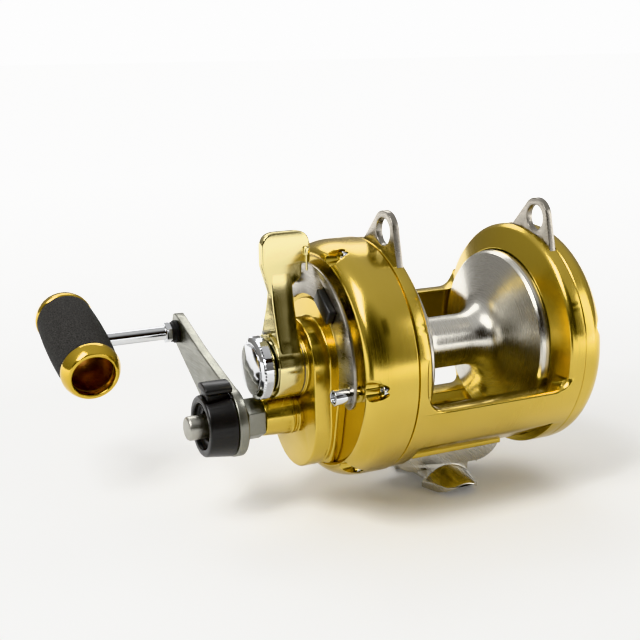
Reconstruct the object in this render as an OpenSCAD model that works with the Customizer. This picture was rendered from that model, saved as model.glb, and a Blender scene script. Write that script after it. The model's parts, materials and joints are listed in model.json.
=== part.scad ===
// Two-speed lever-drag trolling reel, left-facing crank, built up piece by piece.
// X runs along the spool axis away from the crank, -Y is towards the rod tip, +Z is up.
// The origin is the crown of the reel foot's hollow underside, where the rod seat bears.

/* [Frame] */
// Outside radius of the two frame rings
ring_r = 50; // [49:0.5:52]
// Bore radius of the frame rings, around the spool flanges
ring_bore_r = 39; // [38.9:0.1:40]
// Distance from mid spool to the seam between ring and side plate
seam_x = 40.4; // [40:0.1:42]
// Distance from mid spool to the inner rim of a ring
ring_inner_x = 33.9; // [33:0.1:34.5]
// Inside radius of the frame walls that join the rings
wall_in_r = 41; // [40:0.5:42]
// Height of the front window's lower edge from the spool axis
window_front_z = -14.5; // [-18:0.5:-10]
// Height of the rear bar's top edge from the spool axis
bar_top_z = 14; // [10:0.5:16]
// Height of the rear bar's lower edge from the spool axis
bar_low_z = -7; // [-10:0.5:-4]
// Fillet radius in the window corners
window_fillet = 8; // [5:0.5:9]

/* [Side plates] */
// Farthest reach of the handle side plate's rim from mid spool
dome_x = 62.3; // [61:0.1:64]
// Radius of the rim around the handle side plate's recess
dome_rim_r = 44.9; // [44:0.1:45.5]
// Farthest reach of the free side plate from mid spool
free_plate_x = 54; // [52:0.5:58]

/* [Spool] */
// Radius of the spool flanges
flange_r = 38.5; // [38:0.1:38.6]
// Distance from mid spool to a flange's polished front edge
flange_x = 26.1; // [25:0.1:27]
// Radius of the arbor that the line is wound on
arbor_r = 11.5; // [10:0.5:14]

/* [Gears] */
// Module of both gear pairs
gear_module = 0.8; // [0.8:0.1:0.8]
// Teeth on the fast drive gear
fast_teeth = 43; // [43:1:43]
// Teeth on the slow drive gear
slow_teeth = 36; // [36:1:36]
// Teeth on the fast and slow pinions together with their gears
pair_teeth = 58; // [58:1:58]

/* [Crank] */
// Crank axis, towards the angler from the spool axis
crank_y = 4; // [4:0.5:4]
// Length of the crank arm between its two axes
arm_len = 67; // [60:1:75]
// Angle of the crank arm above level
arm_angle = 22.3; // [10:0.1:40]
// Length of the T-bar grip
grip_len = 57.6; // [50:0.5:64]
// Largest radius of the grip's foam
grip_r = 13.5; // [13:0.1:15]
// Tilt of the grip from level
grip_tilt = 16.5; // [0:0.5:30]

/* [Drag lever] */
// Radius of the lever's hub
hub_r = 13.8; // [13:0.1:13.9]
// Reach of the lever's paddle above the spool axis
lever_tip = 56.2; // [54:0.1:60]
// Outside radius of the quadrant plate
quadrant_r = 41.8; // [41:0.1:42.5]

/* [Foot and harness lugs] */
// Radius of the hollow underside that sits on the rod seat
seat_r = 12; // [11:0.5:13]
// Half the width of the foot's wings along the spool axis
wing_x = 29.5; // [26:0.5:31]
// Radius of the harness lug's hole
lug_hole_r = 5.6; // [5:0.1:6]
// Distance of the lug holes from the spool axis
lug_hole_at = 57; // [56:0.5:59]

/* [Hidden] */
$fn = 96;

gold = "#C9A93D";
pale_gold = "#D8C878";
steel = "#8C877E";
silver = "#B9B6AE";
chrome = "#C8CACC";
black = "#1E1C1B";
foam = "#3F3E3C";
brass = "#B08D4A";

gap = 0.05;            // radial play between pieces screwed or pressed together
run = 0.06;            // radial play of a turning fit
cut = 1;               // how far a cutter runs past a face

foot_mid_y = 8;        // the foot's middle, behind the spool axis
seat_drop = 61;        // from the spool axis down to the crown of the foot's hollow
pad_z = -47;           // underside of the frame's pad
pad_x = 23;            // half width of the pad
pad_y0 = -14;
pad_y1 = 24;
flat_z = -45;          // flattened underside of the frame wall
tab_low_z = -65.5;     // lowest edge of the foot's tabs

pair_distance = gear_module * pair_teeth / 2;
crank_z = -sqrt(pair_distance * pair_distance - crank_y * crank_y);
pair_angle = atan2(crank_z, crank_y);
post_y = crank_y + arm_len * cos(arm_angle);
post_z = crank_z + arm_len * sin(arm_angle);

axle_r = 3;            // spool axle
crank_shaft_r = 4.5;
nose_r = 6.9;          // nose that the drag lever turns on

plate_wall_r = 42;     // inside radius of both side plates
handle_screw_r = 46.5; // circles of the side plate screws
free_screw_r = 45.7;
housing_screw_angles = [20, 160];
quadrant_angles = [74, 189];
quadrant_screw_r = 36.4;
housing_screw_r = 24.2;
strike_r = 33.5;       // strike button, on the quadrant
strike_angle = 125;
click_r = 27;          // click button, on the free side plate
click_angle = 202.5;
click_travel = 3;
click_stem_r = 2.5;
handle_screw_angles = [107, 182, 238, 295, 350, 45];
free_screw_angles = [107, 167, 227, 287, 347, 47];
lug_screw_angles = [97, 115];
lug_screw_r = 48;

shoulder_x = -51.5;    // where the handle side plate starts to round over
floor_x = -60.5;       // recess floor of the handle side plate
cover_in_x = -57.5;    // inside of that floor
housing_x = -71.8;     // outer face of the gear housing
housing_spool_r = 19;  // the housing round the spool axis and round the crank axis
housing_crank_r = 23.4;
flange_top_x = -64.5;
washer_x = -73.2;
hub_x0 = -84.5;        // drag lever hub, outer and inner ends
hub_x1 = -73.7;
quadrant_x = -65.6;
quadrant_t = 1.6;
lug_x = [-37, 38.4];     // mid thickness of the left and right lug
lug_t = 3;
lug_angle = 106;
lug_half_angle = 23;
lug_seat_r = 46;

bridge_x0 = -44;       // gear bridge
bridge_x1 = -41.2;
fast_x = -50.6;        // outer face of the fast gear pair
slow_x = -56;
tooth_w = 4.4;

sleeve_x0 = -86.9;
arm_x0 = -101.3;
arm_x1 = -97.1;
shift_x0 = -113.3;
button_x0 = -119.5;
grip_x = -147.7;
latch_angle = 98;
detent_x = -67.4;
detent_y = -3.7;

cap_len = 7;
cap_r = 13;
cap_tip_r = 11;
grip_bore_r = 9.4;
core_r = 10.6;

// ---------- placing ----------

module on_foot() translate([0, -foot_mid_y, seat_drop]) children();

// a solid of revolution about the spool axis, from [radius, x] points
module turned(points) rotate([0, 90, 0]) rotate_extrude() polygon(points);

module rod(x0, x1, r) translate([x0, 0, 0]) rotate([0, 90, 0]) cylinder(h = x1 - x0, r = r);

module pipe(x0, x1, r_out, r_in) difference() {
    rod(x0, x1, r_out);
    rod(x0 - cut, x1 + cut, r_in);
}

module cone_rod(x0, x1, r0, r1)
    translate([x0, 0, 0]) rotate([0, 90, 0]) cylinder(h = x1 - x0, r1 = r0, r2 = r1);

// a flat shape drawn in [y, z], as thick as x0 to x1
module slab(x0, x1) translate([x0, 0, 0]) rotate([90, 0, 90]) linear_extrude(x1 - x0) children();

// a flat shape drawn in [x, z], as deep as y0 to y1
module deep(y0, y1) translate([0, y1, 0]) rotate([90, 0, 0]) linear_extrude(y1 - y0) children();

module at_polar(r, angle) translate([0, r * cos(angle), r * sin(angle)]) children();

module at_2d(r, angle) translate([r * cos(angle), r * sin(angle)]) children();

module at_crank() translate([0, crank_y, crank_z]) children();

module at_post() translate([0, post_y, post_z]) children();

// the arm's own frame: +Y runs from the crank axis to the grip's post
module along_arm() at_crank() rotate([arm_angle, 0, 0]) children();

// the grip's own frame: +Z runs along the T-bar, away from the rod tip
module along_grip() translate([grip_x, post_y, post_z]) rotate([grip_tilt - 90, 0, 0]) children();

// the strike button's own frame: +Y runs along the quadrant's arc
module along_strike() at_polar(strike_r, strike_angle) rotate([strike_angle - 90, 0, 0]) children();

// the pin at the outer end of the drag lever's hub
module at_pin() translate([-85.6, -1.2, 15]) children();

// a wedge of a disc, in [y, z], between two angles at most 150 degrees apart
module wedge(r, a0, a1) {
    mid = (a0 + a1) / 2;
    far = 1.5 * r / cos((a1 - a0) / 4);
    polygon([[0, 0], [far * cos(a0), far * sin(a0)], [far * cos((a0 + mid) / 2), far * sin((a0 + mid) / 2)],
             [far * cos(mid), far * sin(mid)],
             [far * cos((a1 + mid) / 2), far * sin((a1 + mid) / 2)], [far * cos(a1), far * sin(a1)]]);
}

// a rectangle with rounded corners, exact arcs
module soft_rect(x0, x1, y0, y1, r) {
    translate([x0 + r, y0]) square([x1 - x0 - 2 * r, y1 - y0]);
    translate([x0, y0 + r]) square([x1 - x0, y1 - y0 - 2 * r]);
    for (x = [x0 + r, x1 - r]) for (y = [y0 + r, y1 - r]) translate([x, y]) circle(r = r);
}

// two circles and the straight flanks that touch both: one about the spool axis,
// one about the crank axis
module egg(r_spool, r_crank) {
    lean = acos((r_spool - r_crank) / pair_distance);
    circle(r = r_spool);
    translate([crank_y, crank_z]) circle(r = r_crank);
    polygon([for (s = [-1, 1]) r_spool * [cos(pair_angle + s * lean), sin(pair_angle + s * lean)],
             for (s = [1, -1]) [crank_y, crank_z]
                 + r_crank * [cos(pair_angle + s * lean), sin(pair_angle + s * lean)]]);
}

// ---------- frame and covers ----------

module frame_ring(side) turned([[ring_bore_r, side * 30.2], [ring_r - 1.6, side * ring_inner_x],
                                [ring_r, side * (ring_inner_x + 1.4)], [ring_r, side * seam_x],
                                [ring_bore_r, side * seam_x]]);

module lug_outline(clear) {
    tip_r = 8.7 + clear;
    foot_y = lug_seat_r * sin(lug_half_angle) + clear;
    foot_z = lug_seat_r * cos(lug_half_angle) - clear;
    lean = 34;
    translate([0, lug_hole_at]) circle(r = tip_r);
    polygon([[-foot_y, foot_z], [foot_y, foot_z],
             [tip_r * cos(lean), lug_hole_at + tip_r * sin(lean)],
             [-tip_r * cos(lean), lug_hole_at + tip_r * sin(lean)]]);
}

function lug_at(side) = side < 0 ? lug_x[0] : lug_x[1];

module lug_slots() for (side = [-1, 1])
    rotate([lug_angle - 90, 0, 0])
        slab(lug_at(side) - lug_t / 2 - gap, lug_at(side) + lug_t / 2 + gap) difference() {
            lug_outline(gap);
            circle(r = lug_seat_r);
        }

module frame_wall() difference() {
    pipe(-ring_inner_x - 2, ring_inner_x + 2, ring_r, wall_in_r);
    // the open top, down to the front edge and to the rear bar
    deep(-ring_r - cut, 0) soft_rect(-ring_inner_x, ring_inner_x, window_front_z, ring_r + 20, window_fillet);
    deep(-cut, ring_r + cut) soft_rect(-ring_inner_x, ring_inner_x, bar_top_z, ring_r + 20, window_fillet);
    // the rear window between the bar and the base
    deep(0, ring_r + cut) soft_rect(-ring_inner_x, ring_inner_x, -33, bar_low_z, window_fillet - 2);
    // the flattened underside
    slab(-ring_inner_x + 0.6, ring_inner_x - 0.6)
        polygon([[-38.3, -32.2], [pad_y0, flat_z], [pad_y1 + 8, flat_z], [pad_y1 + 8, -60],
                 [-60, -60], [-60, -32.2]]);
}

module frame() color(gold) on_foot() difference() {
    union() {
        for (side = [-1, 1]) frame_ring(side);
        frame_wall();
        translate([-pad_x, pad_y0, pad_z]) cube([2 * pad_x, pad_y1 - pad_y0, 4]);
    }
    lug_slots();
    for (side = [-1, 1]) for (a = lug_screw_angles)
        at_polar(lug_screw_r, a)
            rod(side < 0 ? -seam_x - cut : 34.9, side < 0 ? -34.9 : seam_x + cut, 1.2 + gap);
    for (a = handle_screw_angles) at_polar(handle_screw_r, a) rod(-seam_x - cut, -34.9, 1.6 + gap);
    for (a = free_screw_angles) at_polar(free_screw_r, a) rod(34.9, seam_x + cut, 1.6 + gap);
    foot_screw_spots() {
        translate([0, 0, pad_z - cut]) cylinder(h = 12, r = 1.9 + gap);
        translate([0, 0, -43]) cylinder(h = 12, r = 3.2);
    }
}

module handle_side_plate() color(gold) on_foot() difference() {
    turned(concat([[0, cover_in_x], [plate_wall_r, cover_in_x], [plate_wall_r, -seam_x], [ring_r, -seam_x],
                   [ring_r + 0.5, -seam_x - 2]],
                  [for (t = [0:9:81]) [dome_rim_r + (ring_r + 0.5 - dome_rim_r) * cos(t),
                                       shoulder_x - (dome_x + shoulder_x) * sin(t)]],
                  [[dome_rim_r, -dome_x], [dome_rim_r - 1, -dome_x + 0.8], [dome_rim_r - 1.2, floor_x],
                   [0, floor_x]]));
    for (a = handle_screw_angles) at_polar(handle_screw_r, a) {
        rod(-54, -seam_x + cut, 1.6 + gap);
        at_polar(0.2, a) rod(-dome_x - cut, -53.6, 3.6);
    }
    slab(floor_x - cut, cover_in_x + cut) egg(15.5, 19);
    // the gear housing's foot reaches over the rim below the crank
    slab(-dome_x - cut, floor_x) egg(housing_spool_r + gap, housing_crank_r + gap);
    for (a = quadrant_angles) at_polar(quadrant_screw_r, a) rod(floor_x - cut, cover_in_x + cut, 2 + gap);
    for (a = housing_screw_angles) at_polar(housing_screw_r, a)
        rod(floor_x - cut, cover_in_x + cut, 1.3 + gap);
    at_polar(strike_r, strike_angle) rod(floor_x - cut, cover_in_x + cut, 2.5 + gap);
}

module free_side_plate() color(gold) on_foot() difference() {
    union() {
        turned([[0, free_plate_x - 3], [34, free_plate_x - 3.4], [plate_wall_r, 48.5], [plate_wall_r, seam_x],
                [ring_r, seam_x], [ring_r, 44], [ring_r - 0.7, 46.6], [ring_r - 2.6, 49.4], [45, 51.4],
                [36, 53.3], [20, free_plate_x], [0, free_plate_x]]);
        pipe(43.6, free_plate_x - 2.5, 11, 8 + gap);
    }
    for (a = free_screw_angles) at_polar(free_screw_r, a) {
        rod(seam_x - cut, 48, 1.6 + gap);
        rod(46, free_plate_x + cut, 3.4);
    }
    slab(45, free_plate_x + cut) click_slot(click_stem_r + gap);
}

// the slot that the click button slides in
module click_slot(half_w) rotate(click_angle) {
    translate([click_r - click_travel, -half_w]) square([click_travel, 2 * half_w]);
    for (r = [click_r - click_travel, click_r]) translate([r, 0]) circle(r = half_w);
}

module gear_housing() color(gold) on_foot() difference() {
    union() {
        slab(housing_x, floor_x) egg(housing_spool_r, housing_crank_r);
        slab(flange_top_x, floor_x) intersection() {
            egg(27, 26);
            circle(r = dome_rim_r - 1.3);
        }
        rod(washer_x, housing_x, hub_r - 0.2);
        rod(hub_x0 + 0.4, washer_x, nose_r);
        at_crank() rod(-73.6, housing_x, 8.6);
    }
    difference() {
        slab(-69.6, floor_x + cut) egg(14.6, 18.8);
        rod(-69.6, -58, 6);
    }
    rod(hub_x0, floor_x + cut, axle_r + run);
    at_crank() rod(-90, floor_x + cut, 7 + gap);
    for (a = housing_screw_angles) at_polar(housing_screw_r, a) rod(-63.6, floor_x + cut, 1.3 + gap);
}

module housing_screws() color(steel) on_foot() for (a = housing_screw_angles) at_polar(housing_screw_r, a) {
    rod(-63.4, cover_in_x, 1.3);
    difference() {
        rod(cover_in_x, cover_in_x + 1.6, 2.3);
        rod(cover_in_x + 0.7, cover_in_x + 3, 1);
    }
}

module gear_bridge() color(silver) on_foot() difference() {
    rod(bridge_x0, bridge_x1, plate_wall_r - 0.1);
    rod(bridge_x0 - cut, bridge_x1 + cut, 9 + gap);
    at_crank() rod(bridge_x0 - cut, bridge_x1 + cut, 7 + gap);
}

module shaft_sleeve() color(gold) on_foot() at_crank() difference() {
    union() {
        cone_rod(sleeve_x0, -75, 8, 8.8);
        rod(-75, -73.6, 9);
    }
    rod(sleeve_x0 - cut, -73, 5.4);
    rod(sleeve_x0 - cut, sleeve_x0 + 4, 6.6 + gap);
}

module quadrant_plate() color(steel) on_foot() difference() {
    slab(quadrant_x, quadrant_x + quadrant_t) difference() {
        union() {
            intersection() {
                circle(r = quadrant_r);
                wedge(quadrant_r, 66, 190);
            }
            intersection() {
                circle(r = 33.4);
                wedge(quadrant_r, 58, 84);
            }
            at_2d(36.2, 190) circle(r = 5.2);
        }
        circle(r = 28.6);
    }
    for (a = quadrant_angles) at_polar(quadrant_screw_r, a) rod(quadrant_x - cut, quadrant_x + 3, 2 + gap);
    along_strike() translate([quadrant_x - cut, -7.3, -3.6]) cube([4, 14.6, 7.2]);
}

module quadrant_screw() color(chrome) on_foot() at_polar(quadrant_screw_r, quadrant_angles[0]) {
    rod(quadrant_x, floor_x + 2.6, 2);
    difference() {
        rod(quadrant_x - 1.4, quadrant_x, 3.1);
        rod(quadrant_x - 2, quadrant_x - 0.5, 1.1);
    }
}

module quadrant_spacers() color(steel) on_foot() for (a = quadrant_angles)
    at_polar(quadrant_screw_r, a) pipe(quadrant_x + quadrant_t, floor_x, 3.4, 2 + gap);

// the hollow-headed standoff that ends the lever's travel
module quadrant_standoff() color(chrome) on_foot() at_polar(quadrant_screw_r, quadrant_angles[1]) {
    rod(quadrant_x, floor_x + 2.6, 2);
    difference() {
        rod(-72, quadrant_x, 3.2);
        rod(-73, -69, 2.3);
    }
}

module harness_lug(side) on_foot() rotate([lug_angle - 90, 0, 0])
    difference() {
        slab(lug_at(side) - lug_t / 2, lug_at(side) + lug_t / 2) difference() {
            lug_outline(0);
            circle(r = lug_seat_r + gap);
        }
        translate([0, 0, lug_hole_at]) rod(lug_at(side) - lug_t, lug_at(side) + lug_t, lug_hole_r);
        rotate([90 - lug_angle, 0, 0]) {
            for (a = lug_screw_angles) at_polar(lug_screw_r, a)
                rod(lug_at(side) - lug_t, lug_at(side) + lug_t, 1.2 + gap);
            // one side plate screw crosses the lug's foot and keys it
            at_polar(side < 0 ? handle_screw_r : free_screw_r, handle_screw_angles[0])
                rod(lug_at(side) - lug_t, lug_at(side) + lug_t, 1.6 + gap);
        }
    }

module harness_lug_left() color(steel) harness_lug(-1);

module harness_lug_right() color(steel) harness_lug(1);

module lug_screws() color(steel) on_foot() for (side = [-1, 1]) for (a = lug_screw_angles)
    at_polar(lug_screw_r, a) rod(side < 0 ? -seam_x + 0.2 : 35, side < 0 ? -35 : seam_x - 0.2, 1.2);

module handle_side_screws() color(chrome) on_foot()
    for (a = handle_screw_angles) at_polar(handle_screw_r, a) {
        rod(-53.6, -35.2, 1.6);
        difference() {
            rod(-56.4, -53.6, 2.9);
            rod(-57, -55, 1.4);
        }
    }

module free_side_screws() color(chrome) on_foot()
    for (a = free_screw_angles) at_polar(free_screw_r, a) {
        rod(35.2, 46.1, 1.6);
        difference() {
            rod(46.1, 48.1, 2.9);
            rod(47, 49, 1.4);
        }
    }

// ---------- foot ----------

module foot_screw_spots() for (x = [-16, 16]) for (y = [2, 17]) translate([x, y, 0]) children();

module foot_tab(side, reach) intersection() {
    // plan of the tab: wide at the root, rounded at the tip
    translate([0, foot_mid_y, tab_low_z]) linear_extrude(20) {
        polygon([[-12.5, side * 12], [12.5, side * 12], [8, side * (reach - 3)], [5, side * reach],
                 [-5, side * reach], [-8, side * (reach - 3)]]);
    }
    translate([0, foot_mid_y + side * 12, -56]) rotate([-side * 13.5, 0, 0]) translate([0, -30, -15.2])
        rotate([-90, 0, 0]) cylinder(h = 60, r = 15.2);
}

module reel_foot() color(silver) on_foot() difference() {
    union() {
        // the winged saddle under the frame
        intersection() {
            deep(foot_mid_y - 14, foot_mid_y + 14) difference() {
                union() {
                    translate([-16, -57]) square([32, 10]);
                    for (s = [-1, 1]) translate([s * (wing_x - 14), -43]) circle(r = 14);
                    translate([-11, -62.4]) square([22, 12]);
                }
                translate([-60, pad_z]) square([120, 40]);
            }
            translate([0, foot_mid_y, -80]) cylinder(h = 60, r = wing_x + 1.5);
        }
        foot_tab(-1, 29);
        foot_tab(1, 29);
    }
    translate([0, -60, -seat_drop - seat_r]) rotate([-90, 0, 0]) cylinder(h = 130, r = seat_r);
    foot_screw_spots() translate([0, 0, -54.4]) cylinder(h = 12, r = 1.9 + gap);
}

module foot_screws() color(steel) on_foot() foot_screw_spots() {
    translate([0, 0, -54]) cylinder(h = 11, r = 1.9);
    difference() {
        translate([0, 0, -43]) cylinder(h = 1.8, r = 3);
        translate([0, 0, -42.2]) cylinder(h = 3, r = 1.4);
    }
}

// ---------- bearings ----------

module axle_bearing_right() color(steel) on_foot() pipe(44.6, 49.4, 8, axle_r + run);

module pinion_bearing() color(steel) on_foot() pipe(bridge_x0, bridge_x1, 9, 6 + run);

module crank_bearing_inner() color(steel) on_foot() at_crank()
    pipe(bridge_x0, bridge_x1, 7, crank_shaft_r + run);

module crank_bearing_outer() color(steel) on_foot() at_crank() pipe(-73.5, -69.7, 7, crank_shaft_r + run);

module lever_washer() color(silver) on_foot() pipe(-73.6, washer_x, hub_r, nose_r + gap);

// ---------- spool ----------

module spool() color(silver) on_foot() difference() {
    turned([[0, -32.4], [flange_r - 0.4, -32.4], [flange_r, -32], [flange_r, -flange_x - 0.7],
            [flange_r - 0.8, -flange_x], [19.6, -20.4], [15.2, -18.4], [12.7, -15.6], [arbor_r, -11.6],
            [arbor_r, 11.6], [12.7, 15.6], [15.2, 18.4], [19.6, 20.4], [flange_r - 0.8, flange_x],
            [flange_r, flange_x + 0.7], [flange_r, 32], [flange_r - 0.4, 32.4], [34, 32.4],
            [16, flange_x + 2.4], [14, flange_x + 5], [14, 37], [0, 37]]);
    rod(-40, 40, 4);
    for (s = [-1, 1]) rod(s < 0 ? -40 : 25, s < 0 ? -25 : 40, 8 + gap);
}

module spool_bearings() color(steel) on_foot() for (s = [-1, 1])
    pipe(s < 0 ? -30.6 : 26, s < 0 ? -26 : 30.6, 8, axle_r + run);

module drag_washer() color(black) on_foot() pipe(-34.2, -32.4, 33, 20);

module click_ratchet() color(steel) on_foot() slab(35, 37) difference() {
    union() {
        circle(r = 20);
        for (i = [0:23]) rotate(i * 15) translate([19, -1.1]) square([2.6, 2.2]);
    }
    circle(r = 14 + gap);
}

// the axle's collar pulls the spool towards the drag disc
module spool_axle() color(steel) on_foot() {
    rod(-90.4, 50, axle_r);
    rod(30.7, 32.2, 4.6);
}

module drive_disc() color(steel) on_foot() difference() {
    union() {
        rod(-39.6, -35.6, 33.5);
        rod(-44.4, -39.6, 6);
    }
    rod(-46, -30, axle_r + run);
}

// ---------- gears ----------

// one straight-flanked tooth either side of each root, thinned for backlash
function gear_points(teeth, addendum, dedendum) =
    let (pitch_r = gear_module * teeth / 2, step = 360 / teeth)
    [for (i = [0:teeth - 1])
        for (k = [[-0.335, -dedendum], [-0.12, addendum], [0.12, addendum], [0.335, -dedendum]])
        let (a = (i + k[0]) * step, r = pitch_r + k[1]) [r * cos(a), r * sin(a)]];

module gear_2d(teeth, phase) rotate(phase) polygon(gear_points(teeth, 0.62, 0.86));

// a gear starts with a tooth on the line of centres, its pinion with a gap
module pinion_2d(teeth) gear_2d(teeth, pair_angle + 180 / teeth);

module pinion_cluster() color(steel) on_foot() difference() {
    union() {
        slab(fast_x, fast_x + tooth_w) pinion_2d(pair_teeth - fast_teeth);
        slab(slow_x, slow_x + tooth_w) pinion_2d(pair_teeth - slow_teeth);
        rod(slow_x, -44.4, 5);
    }
    rod(-60, -40, axle_r + run);
}

module fast_gear() color(brass) on_foot() at_crank() difference() {
    slab(fast_x, fast_x + tooth_w) gear_2d(fast_teeth, pair_angle + 180);
    rod(-60, -40, crank_shaft_r + gap);
}

module slow_gear() color(brass) on_foot() at_crank() difference() {
    slab(slow_x, slow_x + tooth_w) gear_2d(slow_teeth, pair_angle + 180);
    rod(-60, -40, crank_shaft_r + run);
}

// ---------- crank ----------

module crank_shaft() color(steel) on_foot() at_crank() difference() {
    rod(-104.6, -41.6, crank_shaft_r);
    rod(-107, -45, 1.5 + run);
}

module crank_collar() color(steel) on_foot() at_crank() difference() {
    union() {
        translate([-95, 0, 0]) rotate([0, 90, 0]) cylinder(h = 7.7, r = 9.2, $fn = 6);
        rod(arm_x1, -95, 7.6);
    }
    rod(-99, -80, crank_shaft_r + gap);
}

module arm_outline() {
    circle(r = 14.6);
    translate([arm_len, 0]) circle(r = 7.2);
    polygon([[0, -14.4], [20, -12.6], [40, -10], [arm_len, -7.2], [arm_len + 5, -6.6], [arm_len + 8, -4.4],
             [arm_len + 8, 4.4], [arm_len + 5, 6.6], [arm_len, 7.2], [40, 9], [20, 11.6], [0, 14.4]]);
}

module crank_arm() color(steel) on_foot() along_arm() difference() {
    slab(arm_x0, arm_x1) arm_outline();
    rod(-110, -90, crank_shaft_r + gap);
    translate([0, arm_len, 0]) rod(-110, -90, 3 + gap);
}

module shift_housing() color(black) on_foot() at_crank() difference() {
    cone_rod(shift_x0, arm_x0, 12.8, 14.3);
    rod(shift_x0 - cut, shift_x0 + 2.4, 9.6);
    rod(shift_x0 - cut, arm_x0 + cut, 6.2);
    rotate([latch_angle, 0, 0]) translate([shift_x0 + 0.9, 7.6, -4.2]) cube([9.8, 9, 8.4]);
}

module shift_button() color(silver) on_foot() at_crank() {
    rod(button_x0 + 0.8, -108.4, 5.1);
    cone_rod(button_x0, button_x0 + 0.8, 4.4, 5.1);
}

module shift_rod() color(steel) on_foot() at_crank() rod(-108.4, -50, 1.5);

module shift_latch() color(black) on_foot() at_crank() rotate([latch_angle, 0, 0]) {
    translate([shift_x0 + 1.2, 9.2, -3.9]) cube([9.2, 6.4, 7.8]);
    intersection() {
        translate([shift_x0 + 0.2, 15.6, -5]) cube([11.8, 4, 10]);
        translate([shift_x0, 10.6, 0]) rotate([0, 90, 0]) cylinder(h = 14, r = 8.6);
    }
}

// ---------- grip ----------

module knob_post() color(chrome) on_foot() at_post() difference() {
    union() {
        rod(grip_x - 1.5, arm_x0 - 3.4, 3.25);
        translate([arm_x0 - 6.2, 0, 0]) rotate([0, 90, 0]) cylinder(h = 2.8, r = 4.9, $fn = 6);
        rod(arm_x0 - 3.4, arm_x1 + 0.4, 3);
    }
    rod(grip_x - 3, grip_x + 12, 1.4);
}

module post_washers() color(black) on_foot() at_post() {
    pipe(arm_x0 - 3.4, arm_x0 - 1.9, 4.6, 3 + gap);
    pipe(arm_x0 - 1.9, arm_x0, 5.2, 3 + gap);
}

module post_screw() color(steel) on_foot() at_post() {
    rod(grip_x - 1.5, grip_x + 11.6, 1.35);
    difference() {
        rod(grip_x - 4.1, grip_x - 1.5, 4.2);
        rod(grip_x - 5, grip_x - 2.9, 1.3);
    }
}

module cross_hole(r) rotate([0, 90, 0]) cylinder(h = 40, r = r);

module grip_core() color(brass) on_foot() along_grip() difference() {
    cylinder(h = grip_len - 8, r = core_r, center = true);
    cylinder(h = grip_len, r = grip_bore_r, center = true);
    cross_hole(6.2);
}

module grip_hub() color(brass) on_foot() along_grip() difference() {
    intersection() {
        translate([-1.4, 0, 0]) rotate([0, 90, 0]) cylinder(h = 14, r = 6.15);
        cylinder(h = 30, r = 12.4, center = true);
    }
    translate([-20, 0, 0]) cross_hole(3.25 + run);
}

module grip_foam() color(foam) on_foot() along_grip() difference() {
    rotate_extrude() polygon(concat([[core_r + gap, -grip_len / 2 + cap_len]],
        [for (i = [0:12]) let (z = -grip_len / 2 + cap_len + (grip_len - 2 * cap_len) * i / 12)
            [grip_r - 0.8 * pow(abs(z) / (grip_len / 2 - cap_len), 2), z]],
        [[core_r + gap, grip_len / 2 - cap_len]]));
    cross_hole(6.2);
}

module grip_cap(side) color(gold) on_foot() along_grip() scale([1, 1, side])
    translate([0, 0, grip_len / 2]) rotate_extrude() polygon([
        [core_r + gap, 0.1 - cap_len], [cap_r - 0.5, 0.1 - cap_len], [cap_r, 0.8 - cap_len],
        [cap_r - 0.1, -4.6], [cap_r - 0.7, -2.6], [cap_tip_r + 0.5, -0.9], [cap_tip_r, -0.2],
        [cap_tip_r - 0.5, 0], [grip_bore_r + 0.3, 0], [grip_bore_r, -0.4], [grip_bore_r, -3.8],
        [core_r + gap, -3.8]]);

module grip_cap_front() grip_cap(-1);

module grip_cap_rear() grip_cap(1);

// ---------- drag lever ----------

// front view of the blade, in [x, z]
module blade_outline() {
    neck_x0 = -83.2;
    neck_x1 = -73.8;
    paddle_x0 = -86.9;
    paddle_x1 = -65.5;
    translate([neck_x0, 0]) square([neck_x1 - neck_x0, 34]);
    polygon([[neck_x0, 26], [-84, 20], [-85.6, 16.4], [-85.6, 13.4], [neck_x0, 12]]);
    polygon([[neck_x0, 30], [-84.4, 34], [-86.4, 40], [paddle_x0, 43], [-69.5, 43], [-69.5, 33.8],
             [neck_x1, 33.8], [neck_x1, 30]]);
    translate([paddle_x0, 42.9]) square([paddle_x1 - paddle_x0, lever_tip - 6 - 42.9]);
    intersection() {
        translate([paddle_x0, 42.9]) square([paddle_x1 - paddle_x0, lever_tip - 42.9]);
        union() {
            for (x = [paddle_x0 + 6, paddle_x1 - 6]) translate([x, lever_tip - 6]) circle(r = 6);
            translate([paddle_x0 + 6, 42.9]) square([paddle_x1 - paddle_x0 - 12, lever_tip - 42.9]);
        }
    }
}

module drag_lever() color(pale_gold) on_foot() difference() {
    union() {
        rod(hub_x0, hub_x1, hub_r);
        // the stem spreads down to the hub's front and back
        slab(-83.2, -73.8) polygon([[-3.4, 30], [-5, 24], [-7.9, 17], [-11, 10], [-13.5, 2.8],
                                    [13.5, 2.8], [10, 10], [6, 17], [3, 24], [1, 30]]);
        intersection() {
            deep(-3.4, 1) blade_outline();
            union() {
                translate([-100, -20, 0]) cube([60, 40, 43]);
                slab(-100, -60) difference() {
                    translate([-20, 42]) square([40, 20]);
                    circle(r = quadrant_r + 0.4);
                }
                translate([-100, -20, 0]) cube([34.1, 40, 70]);
            }
        }
    }
    rod(-90, -70, nose_r + run);
    rod(-90, hub_x0 + 0.5, 11);
    at_pin() rod(-1, 4.4, 0.9 + gap);
    translate([detent_x, detent_y, 40]) cylinder(h = 9.6, r = 1.3 + gap);
}

// the pin that keys the lever's cam
module lever_pin() color(steel) on_foot() at_pin() rod(-0.9, 4.2, 0.9);

// the black seal between the lever's hub and the preset knob
module lever_seal() color(black) on_foot() pipe(-84.4, hub_x0 + 0.5, 10.9, nose_r + 0.3);

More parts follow.
